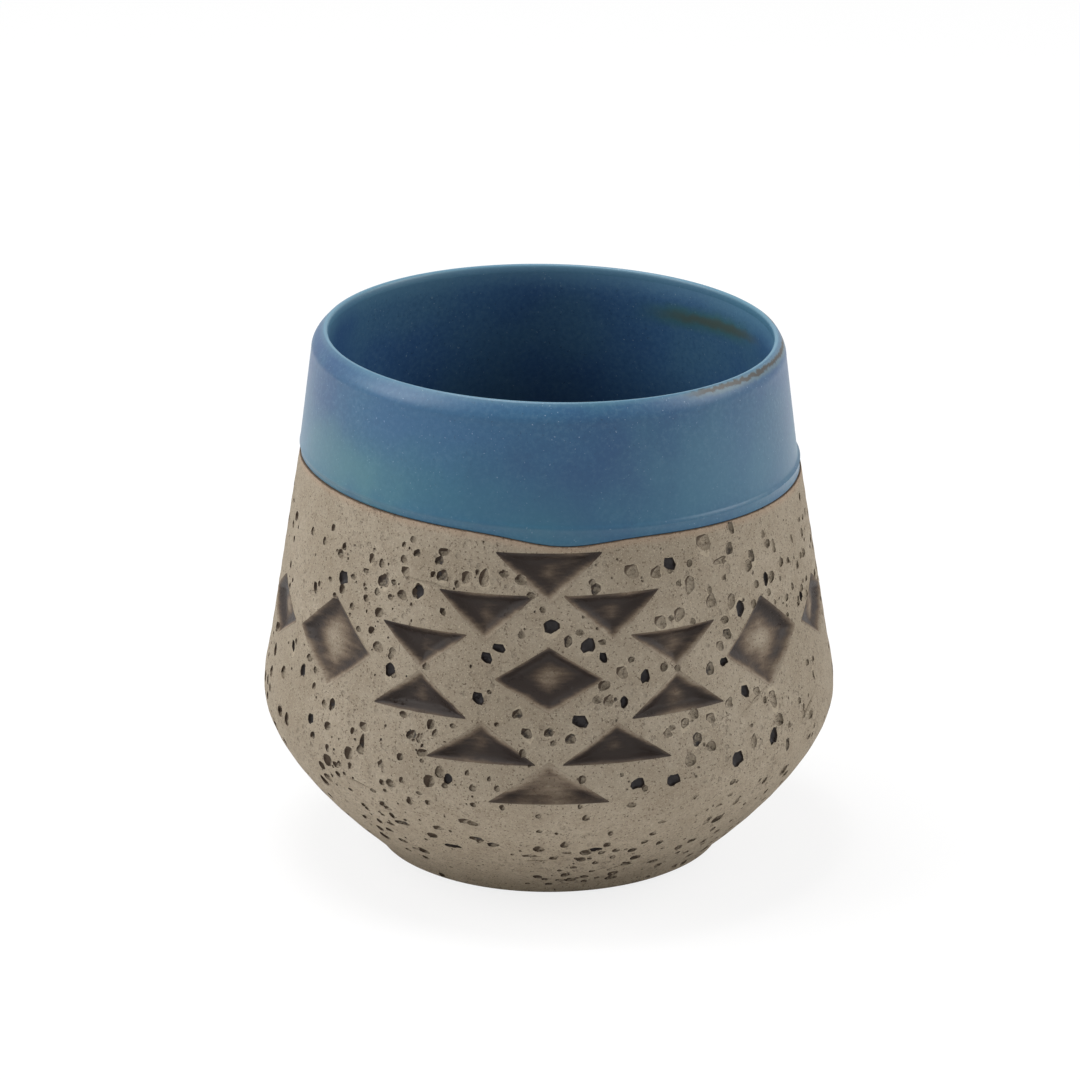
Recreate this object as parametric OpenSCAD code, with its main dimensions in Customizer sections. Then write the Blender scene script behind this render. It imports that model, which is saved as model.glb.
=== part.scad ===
// Handleless stoneware coffee cup. A thrown body flares from a narrow foot to a
// low, wide belly and leans in to the lip. A blue glaze covers a band outside
// and the whole inside, and triangles and diamonds are pressed into the bare
// clay. The origin is at the middle of the foot, on the table. +Z is up and the
// front of the cup faces -Y. Angles go round the cup from the front to the right.

/* [Cup] */
// Height from the table to the top of the lip
cup_h = 80.7; // [74:0.1:90]
// Outside diameter at the belly, the widest place
belly_d = 86.2; // [82:0.2:92]
// Height of the widest place
belly_h = 24.6; // [22:0.2:27]
// Outside diameter where the belly's curve runs out into the straight wall
shoulder_d = 83.8; // [80:0.2:84.5]
// Height where the belly's curve runs out into the straight wall
shoulder_h = 33; // [31:0.2:36]
// Outside diameter at the crease under the glazed band
crease_d = 74.2; // [70:0.2:77]
// Height of the crease under the glazed band
crease_h = 62.8; // [62.6:0.1:66]
// Outside diameter just under the rounded lip
rim_d = 70; // [66:0.2:72]
// Outside diameter of the ring that the cup stands on
foot_d = 45.6; // [42:0.2:49]
// Outside diameter at the top of the rounded heel
heel_d = 53.2; // [50:0.2:56]
// Height of the rounded heel
heel_h = 1.9; // [1.4:0.1:2.6]

/* [Walls] */
// Thickness of the wall at the belly, glaze included
wall_t = 4.4; // [3.6:0.1:5]
// Thickness of the lip, glaze included
lip_t = 2.4; // [2:0.1:3.2]
// Thickness of the wall at the crease, glaze included
neck_t = 2.9; // [2.4:0.1:3.6]
// Height of the floor inside the cup above the table, glaze included
floor_h = 6.2; // [5:0.1:8]
// Diameter of the flat floor inside the cup
floor_d = 30; // [24:1:36]
// Diameter of the hollow turned under the foot
hollow_d = 36; // [30:0.5:40]
// Depth of the hollow turned under the foot
hollow_t = 1.2; // [0.8:0.1:2]

/* [Glaze] */
// Thickness of the glaze
glaze_t = 0.4; // [0.3:0.05:0.6]
// From the crease down to the middle height of the glaze's lower edge
edge_drop = 2.1; // [1.9:0.1:2.6]
// How much higher the edge runs on the left of the cup than in front
edge_rise = 1.5; // [0:0.1:1.6]
// Length of the longest drip below the edge
drip_l = 1.2; // [0:0.1:1.4]
// Depth of the groove that the glaze's lower edge lies in
groove_t = 0.3; // [0.2:0.05:0.4]

/* [Stamps] */
// Depth of the stamps below the wall
stamp_t = 1.2; // [0.8:0.1:1.6]
// Thickness of the dark oxide left on the floors of the stamps
wash_t = 0.12; // [0.08:0.01:0.2]
// From the crease down to the middle of the stamped pattern
pattern_drop = 22.7; // [22.4:0.1:24]
// Height from one row of stamps to the next
row_pitch = 6.15; // [5.9:0.05:6.2]
// Width of the triangle stamp
triangle_w = 15.2; // [13:0.1:16]
// Height of the triangle stamp
triangle_h = 5.7; // [5:0.1:5.8]
// Width of the small diamond stamp
small_diamond_w = 15.8; // [13:0.1:16.5]
// Height of the small diamond stamp
small_diamond_h = 9.8; // [8:0.1:10.4]
// Width of the large diamond stamp
large_diamond_w = 17; // [15:0.1:17.4]
// Height of the large diamond stamp
large_diamond_h = 13; // [11:0.1:14]
// Angle round the cup from one column of triangles to the next
column_angle = 13.6; // [12.5:0.1:13.8]
// Angle from the middle of a medallion to the large diamond beside it
large_diamond_angle = 51.5; // [50:0.1:53]
// Angle from the middle of a medallion to the small diamond beyond it
small_diamond_angle = 77.6; // [76.5:0.1:78.5]

/* [Pits] */
// Width of the largest pits, where coarse grains fell out of the clay
pit_d = 2.8; // [2:0.1:3.2]
// Depth of the largest pits
pit_t = 1; // [0.6:0.1:1.2]

/* [Hidden] */
$fn = 96;
overrun = 1;
belly_r = belly_d / 2;
shoulder_r = shoulder_d / 2;
crease_r = crease_d / 2;
rim_r = rim_d / 2;
foot_r = foot_d / 2;
heel_r = heel_d / 2;
hollow_r = hollow_d / 2;
reach = max(belly_r, shoulder_r, crease_r, rim_r) + overrun;

// The lip is a half round, and this is its centre
lip_r = lip_t / 2;
lip_centre = [rim_r - lip_r, cup_h - lip_r];
lip_steps = 8;

// Triangles step out in rows above and below the middle of a medallion
rows = 3;
pattern_h = crease_h - pattern_drop;

// Middle height of the glaze's lower edge, and its drips: angle, share of the
// longest drip, and the angle over which the drip fades
edge_h = crease_h - edge_drop;
drip_shares = [[3, 1, 12], [128, 0.5, 16], [197, 0.8, 12], [262, 0.45, 18]];
edge_steps = 60;

// Pits on one half of the cup: angle, and shares of the cup's height, of the
// largest width and of the largest depth. The other half repeats them
pit_sides = 7;
pit_shares = [
    [-61, 0.43, 0.7, 0.9], [-55, 0.35, 0.65, 0.8], [-50, 0.63, 0.8, 1], [-38, 0.65, 0.7, 0.6],
    [-34, 0.49, 0.7, 0.7], [-29, 0.645, 0.75, 1], [-23, 0.14, 0.8, 0.8], [-14, 0.465, 0.7, 0.8],
    [-12, 0.54, 0.65, 0.7], [0, 0.6, 0.85, 1], [6, 0.43, 0.8, 0.9], [8, 0.565, 0.75, 0.9],
    [10, 0.15, 0.75, 0.8], [17, 0.305, 0.75, 0.9], [25, 0.3, 0.75, 1], [27, 0.7, 0.75, 0.9],
    [40, 0.31, 1, 1], [43, 0.43, 0.7, 0.9], [45, 0.58, 0.8, 1], [50, 0.33, 0.8, 0.9],
    [68, 0.55, 0.6, 0.8]
];

// Shares that shape the curves: how far a curve keeps its end directions
flare_shares = [0.36, 0.24];
shoulder_shares = [0.45, 0.35];
inside_shares = [0.52, 0.52];
flare_angle = 50;

function bezier(a, b, c, d, t) =
    pow(1 - t, 3) * a + 3 * pow(1 - t, 2) * t * b + 3 * (1 - t) * pow(t, 2) * c + pow(t, 3) * d;

// A curve's points after its first, which ends the stretch before it
function curve(a, b, c, d, steps) = [for (i = [1:steps]) bezier(a, b, c, d, i / steps)];

function arc(centre, radius, from, to, steps) = [
    for (i = [0:steps])
        let (angle = from + (to - from) * i / steps)
        centre + radius * [cos(angle), sin(angle)]
];

function moved(points, step) = [for (point = points) point + step];

function backwards(points) = [for (i = [len(points) - 1:-1:0]) points[i]];

// Rounded heel from the foot ring to where the wall starts
heel_steps = 5;
heel = [
    for (i = [0:heel_steps - 1])
        let (angle = 90 * i / heel_steps)
        [foot_r + (heel_r - foot_r) * sin(angle), heel_h * (1 - cos(angle))]
];

// Outside of the bare wall from the heel to the crease
flare_h = belly_h - heel_h;
flare_curve = curve(
    [heel_r, heel_h], [heel_r, heel_h] + flare_shares[0] * flare_h * [tan(flare_angle), 1],
    [belly_r, belly_h - flare_shares[1] * flare_h], [belly_r, belly_h], 10
);
wall_lean = (shoulder_r - crease_r) / (crease_h - shoulder_h);
shoulder_rise = shoulder_h - belly_h;
shoulder_curve = curve(
    [belly_r, belly_h], [belly_r, belly_h + shoulder_shares[0] * shoulder_rise],
    [shoulder_r, shoulder_h] + shoulder_shares[1] * shoulder_rise * [wall_lean, -1],
    [shoulder_r, shoulder_h], 5
);
wall = concat([[heel_r, heel_h]], flare_curve, shoulder_curve, [[crease_r, crease_h]]);

// Radius of the outside at a height, and the height of the glaze's lower edge
function wall_r(height) = lookup(height, [for (point = wall) [point[1], point[0]]]);

function round_trip(angle) = (angle + 540) % 360 - 180;

function drip(angle, one) = one[1] * exp(-pow(round_trip(angle - one[0]) / one[2], 2));

function edge_at(angle) =
    edge_h - edge_rise * sin(angle) - drip_l * max([for (one = drip_shares) drip(angle, one)]);

// Inside of the cup from the middle of the floor to the lip, set back into the
// clay by depth
function inside(depth) =
    let (
        low = [floor_d / 2, floor_h - depth],
        wide = [belly_r - wall_t + depth, belly_h],
        turn = [(wide[0] - low[0]) * inside_shares[0], (wide[1] - low[1]) * inside_shares[1]]
    )
    concat(
        [[0, floor_h - depth], low],
        curve(low, low + [turn[0], 0], wide - [0, turn[1]], wide, 10),
        moved(shoulder_curve, [depth - wall_t, 0]),
        [[crease_r - neck_t + depth, crease_h], lip_centre - [lip_r - depth, 0]]
    );

// Underside of the glazed band, from below its lower edge to the lip
edge_low = edge_h - edge_rise - drip_l - overrun;
seat_low = [wall_r(edge_low) - groove_t - glaze_t / 2, edge_low];
seat_crease = [crease_r - glaze_t, crease_h];
seat = concat(
    [seat_low, seat_crease],
    arc(lip_centre, lip_r - glaze_t, 0, 180, lip_steps)
);

// Everything below the wavy lower edge of the glaze
module below_edge() {
    rim = [
        for (i = [0:edge_steps - 1])
            let (angle = 360 * i / edge_steps)
            [reach * sin(angle), -reach * cos(angle), edge_at(angle)]
    ];
    base = [for (point = rim) [point[0], point[1], edge_low - overrun]];
    middles = [[0, 0, edge_h], [0, 0, edge_low - overrun]];
    top_middle = 2 * edge_steps;
    polyhedron(
        points = concat(rim, base, middles),
        faces = [
            for (i = [0:edge_steps - 1])
                let (j = (i + 1) % edge_steps)
                each [
                    [top_middle, j, i],
                    [top_middle + 1, i + edge_steps, j + edge_steps],
                    [i, j, j + edge_steps],
                    [i, j + edge_steps, i + edge_steps]
                ]
        ]
    );
}

// Room in the clay for the glazed band
module band_seat() {
    difference() {
        rotate_extrude()
            polygon(concat(
                seat,
                [[lip_centre[0] - lip_r - overrun, lip_centre[1]],
                 [lip_centre[0] - lip_r - overrun, cup_h + overrun],
                 [reach, cup_h + overrun],
                 [reach, edge_low]]
            ));
        below_edge();
    }
}

// Straight stamps that run out from the middle of the cup, all round it
module stamp(angle, height, outline) {
    rotate([90, 0, angle])
        translate([0, height, 0])
        linear_extrude(height = reach)
        polygon(outline);
}

function triangle(up) = [
    [-triangle_w / 2, 0], [triangle_w / 2, 0], [0, -up * triangle_h]
];

function diamond(width, height) = [
    [-width / 2, 0], [0, -height / 2], [width / 2, 0], [0, height / 2]
];

module medallion(middle) {
    stamp(middle, pattern_h, diamond(small_diamond_w, small_diamond_h));
    for (up = [-1, 1], row = [1:rows], side = row < rows ? [-1, 1] : [1])
        stamp(
            middle + side * (rows - row) * column_angle,
            pattern_h + up * row * row_pitch,
            triangle(up)
        );
}

module stamps() {
    for (half = [0, 180]) {
        medallion(half);
        for (side = [-1, 1]) {
            stamp(half + side * large_diamond_angle, pattern_h,
                diamond(large_diamond_w, large_diamond_h));
            stamp(half + side * small_diamond_angle, pattern_h,
                diamond(small_diamond_w, small_diamond_h));
        }
    }
}

// The part of the stamps between two depths below the wall
module stamped(deep, shallow) {
    intersection() {
        stamps();
        rotate_extrude()
            polygon(concat(moved(wall, [-deep, 0]), backwards(moved(wall, [-shallow, 0]))));
    }
}

// Angular hollows cut straight in from the wall
module pits() {
    for (half = [0, 180], pit = pit_shares) {
        height = pit[1] * cup_h;
        depth = pit[3] * pit_t;
        rotate([90, 0, pit[0] + half])
            translate([0, height, wall_r(height) - depth])
            cylinder(h = depth + overrun, d = pit[2] * pit_d, $fn = pit_sides);
    }
}

module clay_body() {
    color([0.62, 0.57, 0.49])
        difference() {
            rotate_extrude()
                polygon(concat(
                    [[0, hollow_t], [hollow_r - hollow_t, hollow_t], [hollow_r, 0]],
                    heel,
                    wall,
                    arc(lip_centre, lip_r, 0, 90, lip_steps),
                    [[lip_centre[0] - lip_r + glaze_t, cup_h]],
                    backwards(inside(glaze_t))
                ));
            band_seat();
            stamped(stamp_t, -overrun);
            pits();
        }
}

module band_glaze() {
    color([0.2, 0.38, 0.52])
        difference() {
            rotate_extrude()
                polygon(concat(
                    [seat_low + [glaze_t / 2, 0],
                     [wall_r(crease_h - glaze_t) - groove_t, crease_h - glaze_t],
                     [crease_r, crease_h + glaze_t]],
                    arc(lip_centre, lip_r, 0, 180, lip_steps),
                    backwards(seat)
                ));
            below_edge();
        }
}

module liner_glaze() {
    color([0.14, 0.3, 0.46])
        rotate_extrude()
            polygon(concat(inside(0), backwards(inside(glaze_t))));
}

module stamp_wash() {
    color([0.22, 0.18, 0.15])
        stamped(stamp_t, stamp_t - wash_t);
}

clay_body();
band_glaze();
liner_glaze();
stamp_wash();
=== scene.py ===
# %% [markdown]
# # A stamped stoneware coffee cup
# The cup is thrown in a dark, coarse clay. While the clay is still soft, triangles
# and diamonds are pressed into its wall, and grains that fall out leave pits. A
# blue glaze covers a band outside and the whole inside, and the rest stays bare.
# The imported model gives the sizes. It stays fixed, and each piece made here stands
# for one of its nodes: the clay, the oxide in the stamps, the band and the liner.

# %% Load the frame
import math

import bmesh
import bpy
import numpy as np
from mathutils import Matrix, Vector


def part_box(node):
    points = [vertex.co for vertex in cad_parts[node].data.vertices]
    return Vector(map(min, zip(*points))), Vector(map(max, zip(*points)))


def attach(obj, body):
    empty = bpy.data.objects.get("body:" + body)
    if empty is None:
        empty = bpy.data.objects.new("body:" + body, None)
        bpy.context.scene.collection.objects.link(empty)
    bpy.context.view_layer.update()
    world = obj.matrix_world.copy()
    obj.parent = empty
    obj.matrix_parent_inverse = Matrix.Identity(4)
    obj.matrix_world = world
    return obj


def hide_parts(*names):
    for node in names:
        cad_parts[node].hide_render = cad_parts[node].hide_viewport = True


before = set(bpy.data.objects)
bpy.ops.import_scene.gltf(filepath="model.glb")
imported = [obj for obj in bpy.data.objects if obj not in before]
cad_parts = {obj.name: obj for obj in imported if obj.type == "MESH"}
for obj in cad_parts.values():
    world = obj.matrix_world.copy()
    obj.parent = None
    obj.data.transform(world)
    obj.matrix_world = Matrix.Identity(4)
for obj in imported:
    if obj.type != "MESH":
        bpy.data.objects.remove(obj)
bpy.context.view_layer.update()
MM = 0.001

# %% [markdown]
# ## Sizes
# Lengths are in millimetres here and become metres when a mesh is made. The belly
# and the lip come from the frame. The other sizes are the cup's own, as a potter
# would note them: widths of the foot, heel, shoulder and crease, and their heights.
# Angles go round the cup from the front, where a medallion faces, to the right.

# %% Sizes of the cup
belly_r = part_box("clay_body")[1].x / MM
cup_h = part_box("band_glaze")[1].z / MM
belly_h = 24.6
shoulder_r, shoulder_h = 41.9, 33
crease_r, crease_h = 37.1, 62.8
rim_r, lip_r = 35, 1.2
foot_r, heel_r, heel_h = 22.8, 26.6, 1.9
hollow_r, hollow_t = 18, 1.2
floor_r, floor_h = 15, 6.2
wall_t, neck_t, glaze_t = 4.4, 2.9, 0.4
lip_h = cup_h - lip_r
# The lip leans in over its last few millimetres and ends in a narrow round crown, which
# lies further out on the right. The clay under the glaze ends in a half round, a little lower.
LIP_FALL, LIP_LEAN = 3.0, 1.9
CROWN_R, CROWN_MIDDLE, CROWN_SHIFT = 0.5, 33.5, 0.3
CORE_R, CORE_DROP = 0.4, 0.3
# The mouth opens a little wider over its last few millimetres, most on the right
MOUTH_WIDER, MOUTH_H = 0.7, 5.0
FRONT_AND_BACK = (0, 180)
FINISHES = {
    name: bpy.data.materials.new(name) for name in ("bare_clay", "dark_wash", "blue_band", "blue_liner")
}
print(f"cup {cup_h:.1f} mm tall, {2 * belly_r:.1f} mm wide")

# %% [markdown]
# ## A way to write node trees
# Both the shaders and the Geometry Nodes trees are sums and products of many small
# values. Wrapping a socket in a class lets Python's own signs add the Math nodes,
# so that a recipe reads like the formula it stands for. One method adds any other
# node from its type, its settings and the values or links of its sockets.


# %% Wires and nets
class Wire:
    """An output of a node. Signs between wires and numbers add Math nodes."""

    def __init__(self, net, socket):
        self.net, self.socket = net, socket

    def out(self, name):
        """Another output of the same node."""
        sockets = self.socket.node.outputs
        return Wire(self.net, next(s for s in sockets if s.name == name and s.enabled))

    def __add__(self, other):
        return self.net.math("ADD", self, other)

    def __radd__(self, other):
        return self.net.math("ADD", other, self)

    def __sub__(self, other):
        return self.net.math("SUBTRACT", self, other)

    def __rsub__(self, other):
        return self.net.math("SUBTRACT", other, self)

    def __mul__(self, other):
        return self.net.math("MULTIPLY", self, other)

    def __rmul__(self, other):
        return self.net.math("MULTIPLY", other, self)

    def __truediv__(self, other):
        return self.net.math("DIVIDE", self, other)

    def __pow__(self, other):
        return self.net.math("POWER", self, other)


class Net:
    """A node tree, and the one way in which this script adds nodes to it."""

    def __init__(self, tree):
        self.tree = tree

    def plug(self, socket, value):
        if isinstance(value, Wire):
            self.tree.links.new(value.socket, socket)
        else:
            socket.default_value = value

    def node(self, kind, settings=None, sockets=None):
        """Adds a node and returns its first output in use as a wire."""
        made = self.tree.nodes.new(kind)
        for name, value in (settings or {}).items():
            setattr(made, name, value)
        for name, value in (sockets or {}).items():
            if isinstance(name, int):
                socket = made.inputs[name]
            else:
                socket = next(s for s in made.inputs if s.name == name and s.enabled)
            for one in value if isinstance(value, list) else [value]:
                self.plug(socket, one)
        outputs = [s for s in made.outputs if s.enabled]
        return Wire(self, outputs[0]) if outputs else None

    def math(self, operation, *values):
        return self.node("ShaderNodeMath", {"operation": operation}, dict(enumerate(values)))

    def vector(self, operation, *values):
        return self.node("ShaderNodeVectorMath", {"operation": operation}, dict(enumerate(values)))

    def scaled(self, vector, share):
        sockets = {"Vector": vector, "Scale": share}
        return self.node("ShaderNodeVectorMath", {"operation": "SCALE"}, sockets)

    def split(self, vector):
        """The x, y and z of a vector."""
        parts = self.node("ShaderNodeSeparateXYZ", None, {"Vector": vector})
        return parts, parts.out("Y"), parts.out("Z")

    def join(self, x, y, z):
        return self.node("ShaderNodeCombineXYZ", None, {"X": x, "Y": y, "Z": z})

    def step(self, value, low, high):
        """0 below low and 1 above high, with a soft step between them."""
        return self.node(
            "ShaderNodeMapRange",
            {"interpolation_type": "SMOOTHSTEP"},
            {"Value": value, "From Min": low, "From Max": high},
        )

    def noise(self, vector, scale, detail=2.0, roughness=0.5):
        sockets = {"Vector": vector, "Scale": scale, "Detail": detail, "Roughness": roughness}
        return self.node("ShaderNodeTexNoise", None, sockets)

    def mix(self, share, first, second):
        """A colour between two colours."""
        settings = {"data_type": "RGBA", "clamp_factor": True}
        return self.node("ShaderNodeMix", settings, {"Factor": share, "A": first, "B": second})


def colour(red, green, blue):
    """A shader's colour from a screen colour of 0 to 255."""
    return tuple((c / 255) ** 2.2 for c in (red, green, blue)) + (1.0,)


# %% [markdown]
# ## Camera
# The photograph looks down on the cup by about 20 degrees through a long lens, from
# a little under a metre away, so the rim is an open ellipse and upright edges stay
# nearly parallel. The cup stands slightly right of the middle and below it, and the
# lens shift frames it there without turning the camera.

# %% Set up the camera
CAMERA_TILT = math.radians(20.3)
CAMERA_AWAY = 0.861
AIM_H = 0.040
PHOTO_SIDE = 1080
CUP_MIDDLE_PX = (549.0, 583.9)

camera_data = bpy.data.cameras.new("camera")
camera = bpy.data.objects.new("camera", camera_data)
bpy.context.scene.collection.objects.link(camera)
camera.location = (
    0,
    -CAMERA_AWAY * math.cos(CAMERA_TILT),
    AIM_H + CAMERA_AWAY * math.sin(CAMERA_TILT),
)
camera.rotation_euler = (math.pi / 2 - CAMERA_TILT, 0, 0)
camera_data.lens = 190.7
camera_data.sensor_width = 36
camera_data.shift_x = 0.5 - CUP_MIDDLE_PX[0] / PHOTO_SIDE
camera_data.shift_y = CUP_MIDDLE_PX[1] / PHOTO_SIDE - 0.5
camera_data.clip_start = 0.01
bpy.context.scene.camera = camera
print("camera at", [round(x, 3) for x in camera.location])

# %% [markdown]
# ## Outline of the wall
# On the wheel, the wall is one line turned round the axis: a rounded heel, a flare
# out to the belly, a short round shoulder and two straight stretches that meet in a
# crease. The same few curves as in the construction are written as formulas, so the
# pieces made here lie exactly where the solids are.


# %% Curves of the outline
def curve(a, b, c, d, steps=24):
    """Points of a Bezier curve after its first."""
    t = np.linspace(0, 1, steps + 1)[1:, None]
    a, b, c, d = (np.array(p, float) for p in (a, b, c, d))
    return (1 - t) ** 3 * a + 3 * (1 - t) ** 2 * t * b + 3 * (1 - t) * t**2 * c + t**3 * d


def arc(centre, radius, start, end, steps):
    """Points on a round stretch of an outline, its angles in degrees."""
    turn = np.radians(np.linspace(start, end, steps + 1))[:, None]
    return np.array(centre) + radius * np.hstack([np.cos(turn), np.sin(turn)])


def spaced(points, step):
    """The same line with its points about a step apart."""
    along = np.r_[0, np.cumsum(np.hypot(*np.diff(points, axis=0).T))]
    wanted = np.linspace(0, along[-1], max(2, round(along[-1] / step) + 1))
    return np.stack([np.interp(wanted, along, points[:, k]) for k in (0, 1)], 1)


turn = np.radians(np.linspace(0, 90, 9))[:, None]
heel = np.hstack([foot_r + (heel_r - foot_r) * np.sin(turn), heel_h * (1 - np.cos(turn))])
flare_h = belly_h - heel_h
flare = curve(
    (heel_r, heel_h),
    (heel_r + 0.36 * flare_h * math.tan(math.radians(50)), heel_h + 0.36 * flare_h),
    (belly_r, belly_h - 0.24 * flare_h),
    (belly_r, belly_h),
)
wall_lean = (shoulder_r - crease_r) / (crease_h - shoulder_h)
shoulder_rise = shoulder_h - belly_h
shoulder = curve(
    (belly_r, belly_h),
    (belly_r, belly_h + 0.45 * shoulder_rise),
    (shoulder_r + 0.35 * shoulder_rise * wall_lean, shoulder_h - 0.35 * shoulder_rise),
    (shoulder_r, shoulder_h),
)
wall = np.vstack([heel, flare, shoulder, [(crease_r, crease_h)]])


def wall_r(height):
    """Radius of the outside at a height below the crease."""
    return np.interp(height, wall[:, 1], wall[:, 0])


def inside(depth):
    """Inside of the cup from the middle of the floor to the lip, set back by depth."""
    wide = (belly_r - wall_t + depth, belly_h)
    low = (floor_r, floor_h - depth)
    side, rise = 0.52 * (wide[0] - low[0]), 0.52 * (wide[1] - low[1])
    return np.vstack(
        [
            [(0, floor_h - depth), low],
            curve(low, (low[0] + side, low[1]), (wide[0], wide[1] - rise), wide),
            shoulder + (depth - wall_t, 0),
            [(crease_r - neck_t + depth, crease_h), (rim_r - 2 * lip_r + depth, lip_h)],
        ]
    )


print("radius at the belly and the crease", wall_r(belly_h).round(2), wall_r(crease_h).round(2))

# %% [markdown]
# ## Turning a wall
# A turned piece is a grid: one ring of points for each point of its outline, and one
# column for each step round the axis. The grid may be bent a little from ring to
# ring, which is how the hand shows: the rim stands lower on the right, the crease
# runs aslant, and the lower edge of the glaze waves and drips.

# %% Rim, crease and edge
COLUMNS = 300
angles = np.arange(COLUMNS) * 2 * math.pi / COLUMNS
RIM_FALL = 1.4
CREASE_MIDDLE, CREASE_SLANT = 62.1, 1.2
EDGE_MIDDLE, EDGE_SLANT = 60.7, 1.5
# Angle, length and spread of each drip
DRIPS = ((3, 1.2, 12), (128, 0.6, 16), (197, 0.96, 12), (262, 0.54, 18))
# Below this height the wall keeps its true shape
PIN_H = 50


def rim_fall(angle):
    """How far the lip lies below its highest place, which is on the left."""
    return RIM_FALL * (1 + np.sin(angle)) / 2


def crease_at(angle):
    return CREASE_MIDDLE - CREASE_SLANT * np.sin(angle)


def edge_at(angle):
    """Height of the glaze's lower edge, with its drips."""
    height = EDGE_MIDDLE - EDGE_SLANT * np.sin(angle)
    drips = []
    for middle, length, spread in DRIPS:
        away = (np.degrees(angle) - middle + 180) % 360 - 180
        drips.append(length * np.exp(-((away / spread) ** 2)))
    return height - np.max(drips, axis=0)


def settled(height, angle):
    """Heights of the upper wall once the rim has sunk on the right."""
    share = np.clip((height - PIN_H) / (lip_h - PIN_H), 0, 1)
    return height - rim_fall(angle) * share


def mouth(height, angle):
    """How much wider the inside is than its plain outline, close under the rim."""
    up = np.clip((height - lip_h + MOUTH_H) / MOUTH_H, 0, 1)
    return MOUTH_WIDER * (1 + np.sin(angle)) / 2 * up**2


print("the edge of the glaze runs from", *edge_at(angles[[75, 225]]).round(1), "mm on right and left")

# %% [markdown]
# With these rules any outline becomes a mesh: first the grid of its rings, which the
# later steps bend, then points and four-cornered faces. Smooth shading comes last and
# stops at sharp edges, so the edge of the glaze stays crisp.


# %% Grid and mesh
def rings(outline):
    """Radius, height and angle of every point of the grid."""
    outline = np.array(outline, float)
    radius = np.repeat(outline[:, :1], COLUMNS, axis=1)
    height = np.repeat(outline[:, 1:], COLUMNS, axis=1)
    return radius, height, np.tile(angles, (len(outline), 1))


def turned(name, radius, height, angle, ring_closes=False):
    """A closed mesh from a grid of points. Rings with no radius close as poles."""
    rows, columns = radius.shape
    points = np.stack([radius * np.sin(angle), -radius * np.cos(angle), height], -1)
    number = np.arange(rows * columns).reshape(rows, columns)
    for row in (0, -1):
        if radius[row].max() < 1e-6:
            number[row] = number[row, 0]
    faces = []
    for i in range(rows if ring_closes else rows - 1):
        low, high = number[i], number[(i + 1) % rows]
        for j in range(columns):
            k = (j + 1) % columns
            corners = dict.fromkeys([int(low[j]), int(low[k]), int(high[k]), int(high[j])])
            faces.append(list(corners))
    used = np.unique(number)
    place = dict(zip(used.tolist(), range(len(used))))
    faces = [[place[v] for v in face] for face in faces]
    mesh = bpy.data.meshes.new(name)
    mesh.from_pydata((points.reshape(-1, 3)[used] * MM).tolist(), [], faces)
    mesh.update()
    piece = bpy.data.objects.new(name, mesh)
    bpy.context.scene.collection.objects.link(piece)
    print(name, len(mesh.vertices), "points", len(mesh.polygons), "faces")
    return piece


def smooth(piece, crease_angle):
    """Smooth shading that stops at edges sharper than an angle."""
    piece.data.polygons.foreach_set("use_smooth", [True] * len(piece.data.polygons))
    piece.data.set_sharp_from_angle(angle=math.radians(crease_angle))
    piece.data.update()


# %% [markdown]
# ## The clay
# The clay is one closed wall: underside with its shallow hollow, heel, flare, belly
# and upper wall outside, and a plain inner face that the liner covers. Under the
# glaze it steps in by the glaze's thickness. The surface outside is a fine grid,
# because the stamps and pits are cut into it. The hidden inside is coarser, but its
# rings lie close enough to stay behind the thin liner where the wall curves. The
# throwing rings and a slight unevenness only ever take clay away, so the widest
# place stays as wide as the solid.

# %% Outline of the clay
OUTSIDE_STEP, HIDDEN_STEP = 0.85, 3.5


def unevenness(height, angle):
    """How far the hand-made wall falls short of the true outline."""
    oval = 0.05 * (1 + np.sin(2 * angle + 0.6))
    lumps = 0.03 * (1 + np.sin(5 * angle + height / 7) * np.sin(height / 9 + 1))
    ridges = 0.02 * (1 + np.sin(height * 2 + 1.5 * np.sin(angle)))
    return oval + lumps + ridges


def clay_outline():
    """Outlines of the underside, the bare outside and the hidden inside."""
    level_r = hollow_r - 4
    corner = ((level_r, hollow_t), (hollow_r - 1, hollow_t), (hollow_r, 0.6), (hollow_r + 0.3, 0))
    under = np.vstack([[(0, hollow_t), (6, hollow_t), corner[0]], curve(*corner, steps=5)])
    bare = wall[wall[:, 1] < EDGE_MIDDLE]
    bare = np.vstack([bare, [(wall_r(EDGE_MIDDLE), EDGE_MIDDLE)]])
    backing = inside(glaze_t)[::-1]
    hidden = np.vstack([spaced(backing[:-1], HIDDEN_STEP), [(0, floor_h - glaze_t)]])
    return under, spaced(bare, OUTSIDE_STEP), hidden


under, outside, hidden = clay_outline()
print("rings", len(under), "under", len(outside), "outside", len(hidden), "hidden")

# %% [markdown]
# Now the outlines become rings. Above a pinned height the outer rings are stretched to
# the slanting edge of the glaze, so that the bare clay ends exactly there. More rings
# follow under the glaze: a step in, the crease, a small round core in the lip, and the
# inside down to the middle of the floor.

# %% Turn the clay
radius, height, angle = rings(outside)
edge = edge_at(angle)
above = height > PIN_H
reached = PIN_H + (height - PIN_H) * (edge - PIN_H) / (EDGE_MIDDLE - PIN_H)
outside_h = np.where(above, reached, height)
outside_r = wall_r(outside_h)
fade = np.clip(outside_h / heel_h, 0, 1)
outside_r = outside_r - fade * unevenness(outside_h, angle)
lip_step = glaze_t + 0.25

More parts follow.
